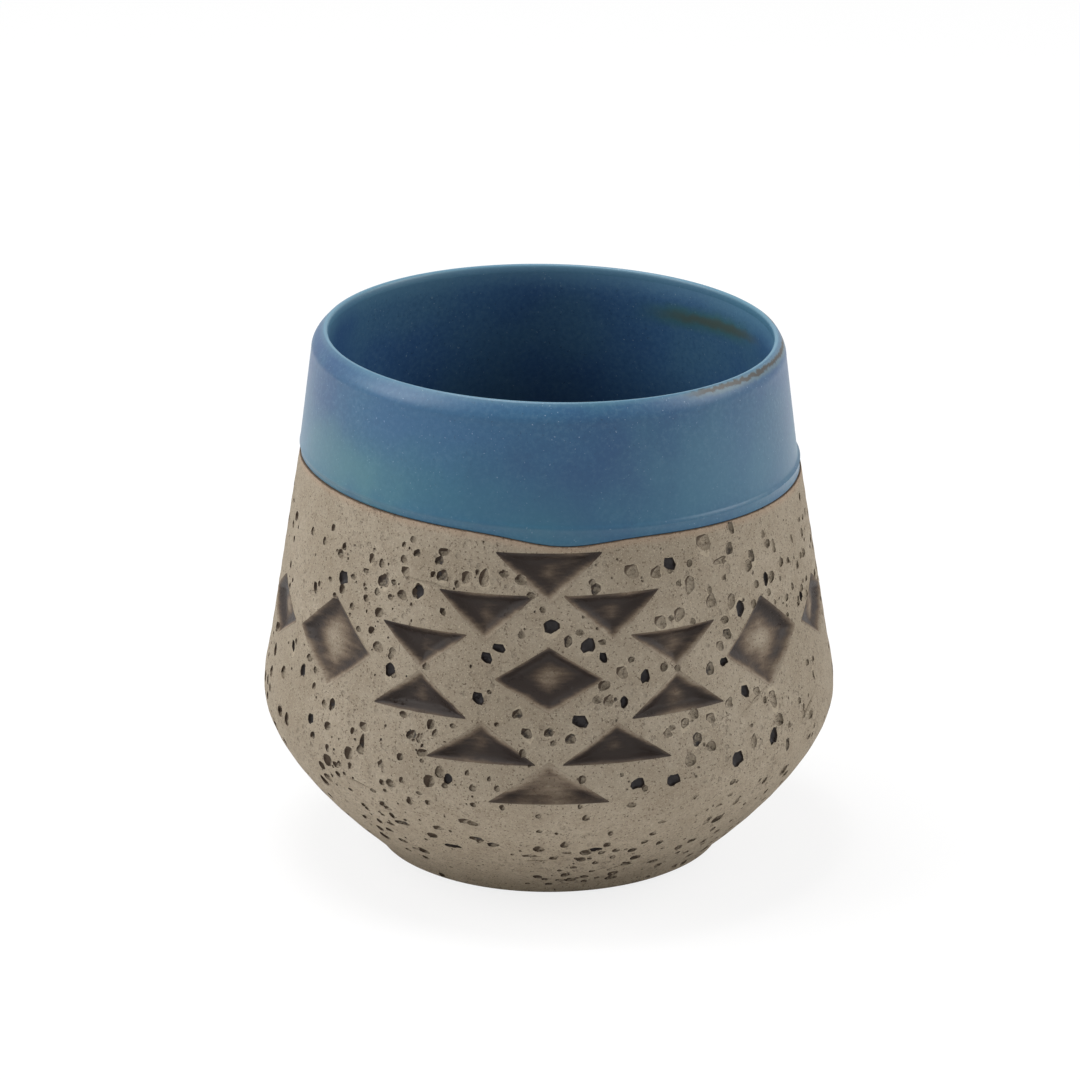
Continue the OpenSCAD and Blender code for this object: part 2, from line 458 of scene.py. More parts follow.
# Rings under the glaze: a step in at the edge, up to the lip and over it
seat_r = np.vstack([wall_r(edge[0]) - lip_step, np.full(COLUMNS, crease_r - lip_step)])
seat_h = np.vstack([edge[0] + 0.02, crease_at(angles)])
liner_edge_r = rim_r - 2 * lip_r + glaze_t
core_middle = (liner_edge_r + CORE_R, lip_h - CORE_DROP)
lip = arc(core_middle, CORE_R, 0, 180, 6)
lip_rings_r, lip_rings_h, lip_angle = rings(lip)
lip_rings_r = lip_rings_r + mouth(lip_h, lip_angle)
inner_r, inner_h, inner_angle = rings(hidden)
inner_r = inner_r + mouth(inner_h, inner_angle)
under_r, under_h, _ = rings(under)
radius = np.vstack([under_r, outside_r, seat_r, lip_rings_r, inner_r[1:]])
height = np.vstack(
    [under_h, outside_h, seat_h, settled(lip_rings_h, lip_angle), settled(inner_h, inner_angle)[1:]]
)
clay = turned("clay_wall", radius, height, np.tile(angles, (len(radius), 1)))

# %% [markdown]
# The grid remembers two things for later steps, kept on its faces and their corners so
# that they survive the cuts: how far a place lies below the glaze, for the warm line
# that the glaze draws on the clay, and which faces are bare wall that pits may open.


# %% Mark the bare wall
def put_on_corners(mesh, name, values):
    """Keeps one number a vertex on the corners of the faces."""
    vertex = np.zeros(len(mesh.loops), np.int32)
    mesh.loops.foreach_get("vertex_index", vertex)
    mesh.attributes.new(name, "FLOAT", "CORNER").data.foreach_set("value", values[vertex])


def points_of(mesh):
    points = np.zeros(len(mesh.vertices) * 3)
    mesh.vertices.foreach_get("co", points)
    return points.reshape(-1, 3) / MM


points = points_of(clay.data)
around = np.arctan2(points[:, 0], -points[:, 1])
put_on_corners(clay.data, "below_glaze", (edge_at(around) - points[:, 2]).astype(np.float32))
middles = np.zeros(len(clay.data.polygons) * 3)
clay.data.polygons.foreach_get("center", middles)
middles = middles.reshape(-1, 3) / MM
middle_r = np.hypot(middles[:, 0], middles[:, 1])
middle_edge = edge_at(np.arctan2(middles[:, 0], -middles[:, 1]))
bare = (middle_r > wall_r(middles[:, 2]) - 0.5) & (middles[:, 2] > 1)
bare &= middles[:, 2] < middle_edge - 1.2
clay.data.attributes.new("bare", "FLOAT", "FACE").data.foreach_set("value", bare.astype(np.float32))
print("bare faces", int(bare.sum()))

# %% [markdown]
# ## The stamps
# Each stamp is a small carved block with sloping sides, so that it leaves the clay
# cleanly. Its face is slightly hollow, and the floor of its mark stands up a little
# in the middle. A block is built as nested copies of its outline, each at its own
# depth. The number kept on each ring says how much dark oxide stays there: most in
# the corner between side and floor, least where a sponge wiped the floor and rim.
# Under the upper rim the number is also raised as painted shade.

# %% Rings of the stamps
# From the outline inwards, in millimetres: inset, height above the wall, share of oxide
STAMP_RINGS = (
    (-0.25, 0.6, 0.0),
    (0.0, 0.0, 0.1),
    (0.25, -0.12, 0.35),
    (0.55, -0.42, 0.7),
    (0.95, -0.82, 0.95),
    (1.35, -1.06, 0.92),
    (1.8, -1.17, 0.8),
    (2.4, -1.16, 0.6),
    (3.3, -1.12, 0.35),
)
# The large diamonds and the lowest triangle of a medallion were wiped cleaner
FAINT_RINGS, WIPED_RINGS = (
    tuple((inset, depth, share * kept) for inset, depth, share in STAMP_RINGS) for kept in (0.8, 0.5)
)
MARK_RINGS = ((-0.1, 0.3, 0.0), (0.0, 0.0, 0.0), (0.12, -0.07, 0.0), (0.22, -0.13, 0.0))
# Under the upper rim of a stamp the share is painted darker than at its lower rim, as
# shade together with oxide, and more oxide stays in its corners
UPPER_RIM_SHADE, CORNER_FILL = 0.5, 0.35
# The floor of a mark is shifted up by this share of its depth, so its lower side is less steep
STAMP_LIFT = 0.22
# Cut faces count as this far below the glaze, in millimetres
FAR_BELOW = 10.0
print("a stamp is", -min(depth for inset, depth, share in STAMP_RINGS), "mm deep")

# %% [markdown]
# A stamp's outline has slightly rounded corners. Each ring is the outline drawn in
# towards the middle of the circle that touches its sides, so every side moves in by the
# same width.

# %% Outlines of the stamps
CORNER_R, SIDE_STEPS = 0.45, 10


def rounded(corners, radius):
    """Points along a polygon whose corners are slightly rounded."""
    line = []
    corners = [np.array(c, float) for c in corners]
    for i, corner in enumerate(corners):
        before, after = corners[i - 1], corners[(i + 1) % len(corners)]
        back = corner + (before - corner) * radius / np.linalg.norm(before - corner)
        ahead = corner + (after - corner) * radius / np.linalg.norm(after - corner)
        for t in (0, 0.35, 0.65, 1):
            line.append((1 - t) ** 2 * back + 2 * t * (1 - t) * corner + t**2 * ahead)
        far = after + (corner - after) * radius / np.linalg.norm(after - corner)
        for t in np.linspace(0, 1, SIDE_STEPS + 1)[1:-1]:
            line.append(ahead + (far - ahead) * t)
    return np.array(line)


def inner_circle(corners):
    """Middle and radius of the circle that touches every side."""
    corners = np.array(corners, float)
    sides = np.linalg.norm(np.roll(corners, -1, 0) - corners, axis=1)
    area = 0.5 * abs(np.sum(np.cross(corners, np.roll(corners, -1, 0))))
    if len(corners) == 3:
        opposite = np.roll(sides, -1)
        return (corners * opposite[:, None]).sum(0) / sides.sum(), 2 * area / sides.sum()
    return corners.mean(0), 2 * area / sides.sum()


TRIANGLE = ((-7.6, 0), (0, -5.7), (7.6, 0))
SMALL_DIAMOND = ((-7.9, 0), (0, -4.9), (7.9, 0), (0, 4.9))
LARGE_DIAMOND = ((-8.5, 0), (0, -6.5), (8.5, 0), (0, 6.5))
DRAG_MARK = ((-5, 0), (0, -0.4), (5, 0), (0, 0.4))
print("the triangle's inner circle is", round(inner_circle(TRIANGLE)[1], 2), "mm in radius")

# %% [markdown]
# Five blocks are carved: a triangle, two diamonds, a thin blade for the scratches that a
# dragged grain leaves, and a triangle whose oxide was wiped off. The letters before
# their names keep them in order, because the tree picks a block by its number.


# %% Carve the stamps
def carve(name, corners, levels, lift, middle_oxide, is_stamp=1.0, radius=CORNER_R):
    """A stamp as a closed block: x across, y up, z out of the wall, in millimetres."""
    line = rounded(corners, radius)
    middle, touch = inner_circle(corners)
    levels = [level for level in levels if level[0] < touch * 0.92]
    points, oxide, faces = [], [], []
    for inset, depth, share in levels:
        ring = middle + (line - middle) * (1 - inset / touch)
        rise = lift * max(0.0, -depth)
        points += [(x, y + rise, depth) for x, y in ring]
        up_the_stamp = (ring[:, 1] - middle[1]) / np.ptp(line[:, 1]) * 2
        away = np.hypot(*(ring - middle).T)
        corner = away / away.max() - 0.5
        # The extra share under the upper rim is painted shade together with oxide; corners keep more oxide
        kept = share + UPPER_RIM_SHADE * math.exp(min(depth, 0) / 0.6) * up_the_stamp + CORNER_FILL * corner
        oxide += list(np.clip(kept, 0, 1))
    count = len(line)
    for i in range(len(levels) - 1):
        for j in range(count):
            k = (j + 1) % count
            faces.append((i * count + j, (i + 1) * count + j, (i + 1) * count + k, i * count + k))
    last = (len(levels) - 1) * count
    deepest = min(level[1] for level in levels)
    points += [(middle[0], middle[1], levels[0][1]), (middle[0], middle[1] + 0.2, deepest + 0.25)]
    oxide += [0.0, middle_oxide]
    top, bottom = len(points) - 2, len(points) - 1
    for j in range(count):
        k = (j + 1) % count
        faces.append((top, j, k))
        faces.append((last + k, last + j, bottom))
    mesh = bpy.data.meshes.new(name)
    mesh.from_pydata((np.array(points) * MM).tolist(), [], faces)
    put_on_corners(mesh, "oxide", np.array(oxide, np.float32))
    put_on_corners(mesh, "below_glaze", np.full(len(points), FAR_BELOW, np.float32))
    mesh.attributes.new("stamped", "FLOAT", "FACE").data.foreach_set("value", [is_stamp] * len(faces))
    mesh.update()
    return bpy.data.objects.new(name, mesh)


stamps = bpy.data.collections.new("stamps")
# The last share is the oxide in the middle of the mark, below 0 where the sponge left none
for made in (
    carve("a_triangle", TRIANGLE, STAMP_RINGS, STAMP_LIFT, 0.6),
    carve("b_small_diamond", SMALL_DIAMOND, STAMP_RINGS, STAMP_LIFT, 0.35),
    carve("c_large_diamond", LARGE_DIAMOND, FAINT_RINGS, STAMP_LIFT, -0.2),
    carve("d_drag_mark", DRAG_MARK, MARK_RINGS, 0, 0.0, is_stamp=0.0, radius=0.1),
    carve("e_wiped_triangle", TRIANGLE, WIPED_RINGS, STAMP_LIFT, 0.3),
):
    stamps.objects.link(made)

# %% [markdown]
# ## Where the stamps go
# A medallion is a small diamond with triangles stepping out above and below it, and
# two pairs of diamonds stand between the medallions on front and back. The places
# are points with an angle, a height, a roll and the number of a stamp.

# %% Lay out the pattern
PATTERN_H = 40.1
ROWS, ROW_PITCH, COLUMN_ANGLE = 3, 6.15, 13.6
LARGE_DIAMOND_ANGLE, SMALL_DIAMOND_ANGLE = 51.5, 77.6
DRAG_MARKS = ((-26, 52.8, -6), (47, 33, 25), (64, 27.5, 28), (-3, 9.2, 2), (20, 6.5, 5), (-42, 20.5, -8))
# A stamp pressed harder leaves a larger mark: number of the stamp, width and height of its
# mark against the stamp's own, for each row from the middle of the medallion outwards
UPPER_MARKS = ((0, 0.93, 1.05), (0, 0.98, 1.25), (0, 1.1, 1.32))
LOWER_MARKS = ((0, 0.98, 1.12), (0, 1.03, 1.06), (4, 1.12, 1.2))


def places(name, rows, columns):
    """Points that carry one row of numbers each, under the given names."""
    rows = np.array(rows, np.float32)
    mesh = bpy.data.meshes.new(name)
    mesh.from_pydata([(0, 0, 0)] * len(rows), [], [])
    for k, column in enumerate(columns):
        mesh.attributes.new(column, "FLOAT", "POINT").data.foreach_set("value", rows[:, k].copy())
    return bpy.data.objects.new(name, mesh)


stamp_rows = []
for half in FRONT_AND_BACK:
    stamp_rows.append((half, PATTERN_H, 0, 1, 1, 1))
    for up, roll, marks in ((1, 0, UPPER_MARKS), (-1, 180, LOWER_MARKS)):
        for row in range(1, ROWS + 1):
            for side in (-1, 1) if row < ROWS else (1,):
                turn_to = half + side * (ROWS - row) * COLUMN_ANGLE
                stamp_rows.append((turn_to, PATTERN_H + up * row * ROW_PITCH, roll, *marks[row - 1]))
    for side in (-1, 1):
        stamp_rows.append((half + side * LARGE_DIAMOND_ANGLE, PATTERN_H + 0.3, 0, 2, 1, 1.08))
        stamp_rows.append((half + side * SMALL_DIAMOND_ANGLE, PATTERN_H, 0, 1, 1, 1))
    stamp_rows += [(half + turn_to, up, roll, 3, 1, 1) for turn_to, up, roll in DRAG_MARKS]
stamp_places = places("stamp_places", stamp_rows, ("turn", "up", "roll", "kind", "wide", "tall"))
print(len(stamp_rows), "marks, of which", 2 * len(DRAG_MARKS), "are drag marks")

# %% [markdown]
# ## Pressing the stamps
# A flat block would bite deep in its middle and miss at its ends, because the wall
# is round. The potter rocks it across the curve. The tree does the same: it puts a
# block on every place, sends a ray from each of its points to the wall, and lays
# the point at its own depth on the spot that the ray meets. Then the blocks are cut
# out of the clay, each by itself, so that close neighbours may touch. First come the
# helpers that this tree shares with the next one.


# %% Helpers for the trees
def tree_of(name, *inputs):
    """A Geometry Nodes tree with a geometry in and out, and more named inputs."""
    tree = bpy.data.node_groups.new(name, "GeometryNodeTree")
    tree.interface.new_socket("Geometry", in_out="INPUT", socket_type="NodeSocketGeometry")
    tree.interface.new_socket("Geometry", in_out="OUTPUT", socket_type="NodeSocketGeometry")
    for label, kind in inputs:
        tree.interface.new_socket(label, in_out="INPUT", socket_type=kind)
    net = Net(tree)
    return net, net.node("NodeGroupInput")


def run_tree(piece, net, result, finish, **values):
    """Ends the tree, runs it on a piece and keeps the result as its plain mesh."""
    real = net.node("GeometryNodeRealizeInstances", None, {"Geometry": result})
    done = net.node("GeometryNodeSetMaterial", None, {"Geometry": real, "Material": finish})
    net.node("NodeGroupOutput", None, {"Geometry": done})
    modifier = piece.modifiers.new("work", "NODES")
    modifier.node_group = net.tree
    for item in net.tree.interface.items_tree:
        if item.in_out == "INPUT" and item.name in values:
            modifier[item.identifier] = values[item.name]
    shown = piece.evaluated_get(bpy.context.evaluated_depsgraph_get())
    mesh = bpy.data.meshes.new_from_object(shown)
    piece.modifiers.remove(modifier)
    piece.data = mesh
    print(piece.name, "now has", len(mesh.polygons), "faces")


def named(net, name, kind="FLOAT"):
    return net.node("GeometryNodeInputNamedAttribute", {"data_type": kind}, {"Name": name})


def onto_wall(net, wall_mesh, turn_deg, up_mm):
    """The place on the wall at an angle in degrees and a height, and its normal."""
    angle = turn_deg * math.radians(1)
    outward = net.join(net.math("SINE", angle), net.math("COSINE", angle) * -1, 0.0)
    start = net.vector("ADD", net.vector("MULTIPLY", outward, (0.1,) * 3), net.join(0.0, 0.0, up_mm * MM))
    ray = net.node(
        "GeometryNodeRaycast",
        {"data_type": "FLOAT"},
        {
            "Target Geometry": wall_mesh,
            "Source Position": start,
            "Ray Direction": net.vector("MULTIPLY", outward, (-1,) * 3),
            "Ray Length": 0.1,
        },
    )
    return ray.out("Hit Position"), ray.out("Hit Normal")


# %% [markdown]
# The stamps arrive as one collection and their places as the points of one object, so
# the tree has only these two inputs and the radius at which the blocks were drawn flat.


# %% Press the stamps
def pressing_tree():
    net, given = tree_of(
        "press_stamps",
        ("Places", "NodeSocketObject"),
        ("Stamps", "NodeSocketCollection"),
        ("Radius", "NodeSocketFloat"),
    )
    spots = net.node("GeometryNodeObjectInfo", None, {"Object": given.out("Places")}).out("Geometry")
    blocks = net.node(
        "GeometryNodeCollectionInfo",
        None,
        {"Collection": given.out("Stamps"), "Separate Children": True, "Reset Children": True},
    )
    roll = net.join(0.0, 0.0, named(net, "roll") * math.radians(1))
    placed = net.node(
        "GeometryNodeInstanceOnPoints",
        None,
        {
            "Points": spots,
            "Instance": blocks,
            "Pick Instance": True,
            "Instance Index": named(net, "kind"),
            "Rotation": net.node("FunctionNodeEulerToRotation", None, {"Euler": roll}),
            "Scale": net.join(named(net, "wide"), named(net, "tall"), 1.0),
        },
    )
    loose = net.node("GeometryNodeRealizeInstances", None, {"Geometry": placed})
    x, y, z = net.split(net.node("GeometryNodeInputPosition"))
    across = x / given.out("Radius") * math.degrees(1)
    spot, normal = onto_wall(net, given, named(net, "turn") + across, named(net, "up") + y / MM)
    laid = net.vector("ADD", spot, net.scaled(normal, z))
    wrapped = net.node("GeometryNodeSetPosition", None, {"Geometry": loose, "Position": laid})
    island = net.node("GeometryNodeInputMeshIsland")
    single = net.node(
        "GeometryNodeSplitToInstances", {"domain": "FACE"}, {"Geometry": wrapped, "Group ID": island}
    )
    cut = net.node(
        "GeometryNodeMeshBoolean",
        {"operation": "DIFFERENCE", "solver": "MANIFOLD"},
        {"Mesh 1": given, "Mesh 2": single},
    )
    return net, cut


PRESS_R = 40.0 * MM
press, pressed = pressing_tree()
run_tree(clay, press, pressed, FINISHES["bare_clay"], Places=stamp_places, Stamps=stamps, Radius=PRESS_R)

# %% [markdown]
# ## The pits
# Coarse grains burn out or fall out of the clay and leave pits. The large ones are
# the cup's character, so each is listed one by one: angle, height, width and height of
# its mouth. Deep ones are where a whole grain came away, half-deep ones are worn,
# and shallow ones are only the print of a grain. Both halves of the cup have them.

# %% Place the large pits
DEEP_PITS = (
    (-50, 50.2, 2.0, 2.6), (-29, 51.5, 1.8, 2.1), (-66.5, 36.4, 1.2, 1.8), (-60.5, 34, 1.4, 2.1),
    (-34.5, 39.3, 1.8, 2.1), (-55, 27.9, 1.4, 2.0), (-13, 43.2, 1.8, 1.8), (-10.5, 44.7, 2.1, 1.4),
    (-14.5, 37.2, 1.9, 2.0), (0.4, 48.1, 2.6, 2.0), (-23, 11.2, 2.7, 1.4), (27, 55.7, 2.1, 2.1),
    (54, 49.4, 1.3, 2.1), (44.6, 46.7, 1.8, 2.4), (38.7, 39.7, 1.5, 1.5), (8.2, 45.1, 2.1, 2.2),
    (11.2, 43.3, 1.3, 1.7), (20, 39.9, 1.4, 2.1), (15.2, 36.6, 1.3, 1.8), (6.1, 34.2, 2.6, 2.0),
    (43.5, 34.5, 1.8, 2.1), (50.3, 26.3, 1.7, 2.6), (40, 24.9, 2.1, 2.9), (25, 24, 2.1, 2.3),
    (17.5, 24.3, 2.1, 1.8), (68.4, 43.6, 1.2, 2.0), (10.5, 11.8, 2.4, 1.2), (-20, 24.9, 1.5, 1.7),
)
HALF_DEEP_PITS = (
    (-38, 51.8, 2.1, 2.1), (-51, 54.7, 1.2, 1.2), (-60, 46.9, 1.2, 1.8), (-30, 56.9, 1.2, 1.2),
    (-23.5, 54.3, 1.8, 1.8), (-23, 49.1, 1.1, 1.3), (-49, 31.5, 1.4, 2.0), (-39.5, 27.2, 1.2, 3.3),
    (-28, 30.5, 1.8, 1.5), (-6.3, 35.2, 1.5, 1.5), (-4.5, 32.5, 1.8, 1.7), (0, 32.6, 1.4, 1.4),
    (-34, 14.4, 2.7, 1.2), (-16.3, 13.8, 2.4, 1.4), (-12.8, 12.8, 2.1, 1.2), (10, 53.3, 1.7, 1.7),
    (43.3, 55.7, 1.8, 1.8), (50, 53.6, 1.5, 2.1), (40.2, 43.6, 1.8, 1.8), (35, 39.2, 1.8, 2.0),
    (3.9, 45.9, 1.4, 1.8), (4.3, 31.6, 2.0, 1.5), (30.4, 29.6, 1.8, 2.1), (29, 6.4, 2.1, 1.1),
    (-54, 25.6, 1.2, 1.2), (55, 23.9, 1.2, 2.4), (44.4, 58.7, 1.3, 2.1), (-24.4, 56.4, 1.4, 1.4),
)
SHALLOW_PITS = (
    (-32.5, 53.9, 1.8, 1.8), (-18, 54.6, 1.9, 1.9), (-14, 54.6, 1.9, 2.7), (-39.6, 30, 1.8, 1.5),
    (23.7, 54.7, 2.2, 2.2), (18, 55.4, 2.4, 2.4), (36, 57.8, 2.8, 2.7), (40.3, 54.4, 3.3, 1.3),
    (36.8, 49, 2.1, 2.1), (31.6, 52.2, 1.9, 2.8), (28.5, 48.2, 2.1, 2.1), (24, 47.5, 2.1, 2.2),
    (42.3, 48.2, 1.7, 2.4), (38, 42.2, 1.5, 1.7), (15, 40.9, 1.9, 2.1), (12, 36.9, 1.9, 2.1),
    (46.8, 33.8, 1.6, 1.6), (39, 33.5, 1.9, 1.9), (34, 32.1, 1.8, 1.8), (28, 32.3, 1.6, 1.5),
    (51.4, 31.8, 1.9, 3.0), (44.4, 26.8, 1.5, 2.2), (-42, 54.6, 1.3, 1.6), (67.6, 52.6, 1.0, 1.6),
)
WORN_PITS = (
    (-33.5, 57.7, 0.9, 0.9), (-55.6, 32.7, 1.2, 1.2), (-23, 31.3, 1.2, 1.2), (0.8, 31.1, 1.1, 0.9),
    (-16, 26.1, 0.9, 0.9), (-11.6, 25.5, 0.8, 0.8), (-34.7, 25.1, 1.4, 1.4), (-42.8, 23.3, 1.1, 1.2),
    (-30, 23.3, 1.1, 1.1), (-36, 17, 1.5, 1.1), (-24.6, 15.1, 2.1, 1.2), (-17.7, 17.5, 2.4, 1.2),
    (-36, 8.1, 2.1, 0.8), (-46.7, 12.7, 2.1, 0.9), (-4.4, 10.5, 3.0, 0.9), (-2, 16.3, 1.2, 0.8),
    (55, 55.8, 1.2, 1.2), (58.5, 53.6, 1.1, 1.7), (36.7, 50.6, 1.1, 1.1), (41, 51.8, 1.1, 1.1),
    (29, 52.6, 1.2, 1.2), (24, 31.1, 1.5, 1.5), (69, 31.1, 0.9, 1.8), (55.6, 26.8, 1.1, 1.2),
    (40.4, 18.6, 1.2, 0.8), (38.3, 17.1, 1.4, 0.9), (37.5, 13.6, 1.4, 0.9), (24.5, 16.3, 1.5, 0.9),
    (3.5, 3.9, 2.1, 0.8), (18.7, 4.2, 1.2, 0.7), (48.5, 19.3, 0.9, 0.9),
)
# Name, list of places, depth in millimetres, how far the grain stood out, darkness
PIT_KINDS = (
    ("deep", DEEP_PITS, 0.85, 0.0, 1.0),
    ("half_deep", HALF_DEEP_PITS, 0.6, 0.15, 0.55),
    ("shallow", SHALLOW_PITS, 0.45, 0.3, 0.2),
    ("worn", WORN_PITS, 0.35, 0.1, 0.35),
)
pit_places = []
for kind, rows, depth, stands_out, darkness in PIT_KINDS:
    both = [(half + row[0], *row[1:]) for half in FRONT_AND_BACK for row in rows]
    pit_places.append(places(kind + "_pits", both, ("turn", "up", "wide", "tall")))
print("large pits", [len(p.data.vertices) for p in pit_places])

# %% [markdown]
# ## Opening the pits
# The grains are round lumps pulled out of shape by noise, a few different ones, and
# the tree sinks one at each place, square to the wall. Cutting them all from the clay
# gives sharp, angular mouths that follow the wall. Each cut face keeps how dark its
# kind is and how deep it lies.

# %% Grains of a few shapes
GRAIN_SHAPES = 4


def grain(net, shape, fineness, darkness, stands_out):
    """A lumpy grain of radius 1 that marks its faces for the shader."""
    ball = net.node("GeometryNodeMeshIcoSphere", None, {"Radius": 1.0, "Subdivisions": fineness})
    place = net.node("GeometryNodeInputPosition")
    side = net.vector("NORMALIZE", net.vector("MULTIPLY", place, (1.0, 1.0, 0.0)))
    lump = net.noise(net.vector("ADD", side, (7.3 * shape + 1, 3.1 * shape, 0.0)), 1.1, 0.0) * 1.1 + 0.45
    lumpy = net.node(
        "GeometryNodeSetPosition",
        None,
        {"Geometry": ball, "Position": net.vector("MULTIPLY", place, net.join(lump, lump, 1.0))},
    )
    height = net.split(net.node("GeometryNodeInputPosition"))[2]
    depth = (height + stands_out) / (stands_out - 1)
    marks = (("pit", "FACE", darkness), ("depth", "CORNER", depth), ("below_glaze", "CORNER", FAR_BELOW))
    for name, domain, value in marks:
        lumpy = net.node(
            "GeometryNodeStoreNamedAttribute",
            {"data_type": "FLOAT", "domain": domain},
            {"Geometry": lumpy, "Name": name, "Value": value},
        )
    return net.node("GeometryNodeGeometryToInstance", None, {"Geometry": lumpy})


def sink_grains(net, points, normal, size, fineness, darkness, stands_out, seed):
    """One grain on each point, turned square to the wall."""
    shapes = [grain(net, shape + seed, fineness, darkness, stands_out) for shape in range(GRAIN_SHAPES)]
    grains = net.node("GeometryNodeJoinGeometry", None, {"Geometry": shapes})
    level = net.vector("CROSS_PRODUCT", (0.0, 0.0, 1.0), normal)
    turn_to = net.node(
        "FunctionNodeAxesToRotation",
        {"primary_axis": "Z", "secondary_axis": "X"},
        {"Primary Axis": normal, "Secondary Axis": level},
    )
    which = net.node(
        "FunctionNodeRandomValue", {"data_type": "INT"}, {4: 0, 5: GRAIN_SHAPES - 1, "Seed": seed}
    )
    return net.node(
        "GeometryNodeInstanceOnPoints",
        None,
        {
            "Points": points,
            "Instance": grains,
            "Pick Instance": True,
            "Instance Index": which.out("Value"),
            "Rotation": turn_to,
            "Scale": size,
        },
    )


# %% [markdown]
# The mouth of a real pit is worn round. So each large pit gets a second, wider and very
# shallow cut, a collar, which the shader paints a little paler as a highlight.

# %% Large pits
# Depth of a collar, its width against the mouth, and the number that marks it for the shader
COLLAR_T, COLLAR_WIDER, COLLAR = 0.06, 1.22, -1.0


def large_pits(net, given, kind, depth, stands_out, darkness, seed):
    """The grains of one kind, at the places that were listed."""
    spots = net.node("GeometryNodeObjectInfo", None, {"Object": given.out(kind)}).out("Geometry")
    spot, normal = onto_wall(net, given, named(net, "turn"), named(net, "up"))
    kept = net.node(
        "GeometryNodeStoreNamedAttribute",
        {"data_type": "FLOAT_VECTOR", "domain": "POINT"},
        {"Geometry": spots, "Name": "out", "Value": normal},
    )
    out = named(net, "out", "FLOAT_VECTOR")
    grains = []
    collar = (COLLAR_T, 0.8, COLLAR_WIDER, COLLAR)
    for tall, rise, wider, dark in ((depth, stands_out, 1, darkness), collar):
        tall, wide = tall / (1 - max(rise, 0)), wider * 0.5 / math.sqrt(1 - rise**2)
        raised_to = net.vector("ADD", spot, net.scaled(normal, rise * tall * MM))
        raised = net.node("GeometryNodeSetPosition", None, {"Geometry": kept, "Position": raised_to})
        size = net.join(named(net, "wide") * wide * MM, named(net, "tall") * wide * MM, tall * MM)
        grains.append(sink_grains(net, raised, out, size, 2, dark, rise, seed))
    return grains


# %% [markdown]
# Hundreds of small grains are scattered over the bare wall at random, with the seed
# fixed. They lie in loose clusters, fewer just under the glaze, and more on the
# flanks and near the foot than in the middle of front and back. Three scatterings
# of different size look more natural than one.

# %% Small pits
# Darkness, least and most radius in millimetres, share of the given distance and number, seed
SCATTERINGS = (
    (0.3, 0.2, 0.7, 1.0, 1.0, 11),
    (0.5, 0.12, 0.36, 1.0, 0.5, 23),
    (0.2, 0.6, 1.15, 1.9, 1.6, 37),
)
# Places in metres between which the pits grow fewer or more
CALM_TOP, FLANKS, NEAR_FOOT = (0.052, 0.060), (0.012, 0.024), (0.017, 0.010)


def small_pits(net, given, darkness, least, most, apart, number, seed):
    """Grains of a least to a most radius scattered over the bare wall, in clusters."""
    place = net.node("GeometryNodeInputPosition")
    cluster = net.step(net.noise(place, 70.0, 1.0), 0.42, 0.66)
    across, _, height = net.split(place)
    top = 1 - 0.75 * net.step(height, *CALM_TOP)
    flank = net.step(net.math("ABSOLUTE", across), *FLANKS)
    busy = net.math("MAXIMUM", flank, net.step(height, *NEAR_FOOT))
    bare = net.node(
        "FunctionNodeCompare", {"operation": "GREATER_THAN"}, {"A": named(net, "bare"), "B": 0.5}
    )
    scattered = net.node(
        "GeometryNodeDistributePointsOnFaces",
        {"distribute_method": "POISSON"},
        {
            "Mesh": given,
            "Selection": bare,
            "Distance Min": given.out("Apart") * apart,
            "Density Max": given.out("Density") * number,
            "Density Factor": (0.12 + 0.88 * cluster) * top * (0.5 + 0.5 * busy),
            "Seed": seed,
        },
    )
    draws = []
    for k in range(3):
        sockets = {2: 0.0, 3: 1.0, "Seed": seed + k}
        draws.append(net.node("FunctionNodeRandomValue", {"data_type": "FLOAT"}, sockets).out("Value"))
    wide = (least + (most - least) * draws[0] ** 2.2) * MM
    size = net.join(wide * (0.8 + 0.4 * draws[1]), wide * (0.8 + 0.5 * draws[2]), wide * 0.6 + 0.08 * MM)
    return sink_grains(net, scattered, scattered.out("Normal"), size, 1, darkness, 0.0, seed)


# %% [markdown]
# All the grains go into one cut, because the clay is then opened only once, and pits
# that overlap run together as they do in real clay.

# %% Open the pits
GRAINS_PER_M2, GRAIN_GAP = 130000.0, 1.1 * MM


def pitting_tree():
    inputs = [(kind[0], "NodeSocketObject") for kind in PIT_KINDS]
    net, given = tree_of("open_pits", *inputs, ("Density", "NodeSocketFloat"), ("Apart", "NodeSocketFloat"))
    grains = [small_pits(net, given, *scattering) for scattering in SCATTERINGS]
    for seed, (kind, _, depth, stands_out, darkness) in enumerate(PIT_KINDS):
        grains += large_pits(net, given, kind, depth, stands_out, darkness, seed + 1)
    cut = net.node(
        "GeometryNodeMeshBoolean",
        {"operation": "DIFFERENCE", "solver": "MANIFOLD"},
        {"Mesh 1": given, "Mesh 2": grains},
    )
    return net, cut


open_pits, pitted = pitting_tree()
kinds = {kind[0]: spots for kind, spots in zip(PIT_KINDS, pit_places)}
clay_finish = FINISHES["bare_clay"]
run_tree(clay, open_pits, pitted, clay_finish, Density=GRAINS_PER_M2, Apart=GRAIN_GAP, **kinds)
smooth(clay, 38)

# %% [markdown]
# ## The oxide
# A thin wash of dark oxide is brushed over the stamped wall and sponged off again,
# so it stays in the stamps. It is made from the clay's own stamped faces: they are
# copied, raised by a hair's breadth along their normals and closed into a thin coat,
# which therefore fits the stamps exactly and has the same pits.

# %% Lay the oxide
WASH_T = 0.05 * MM


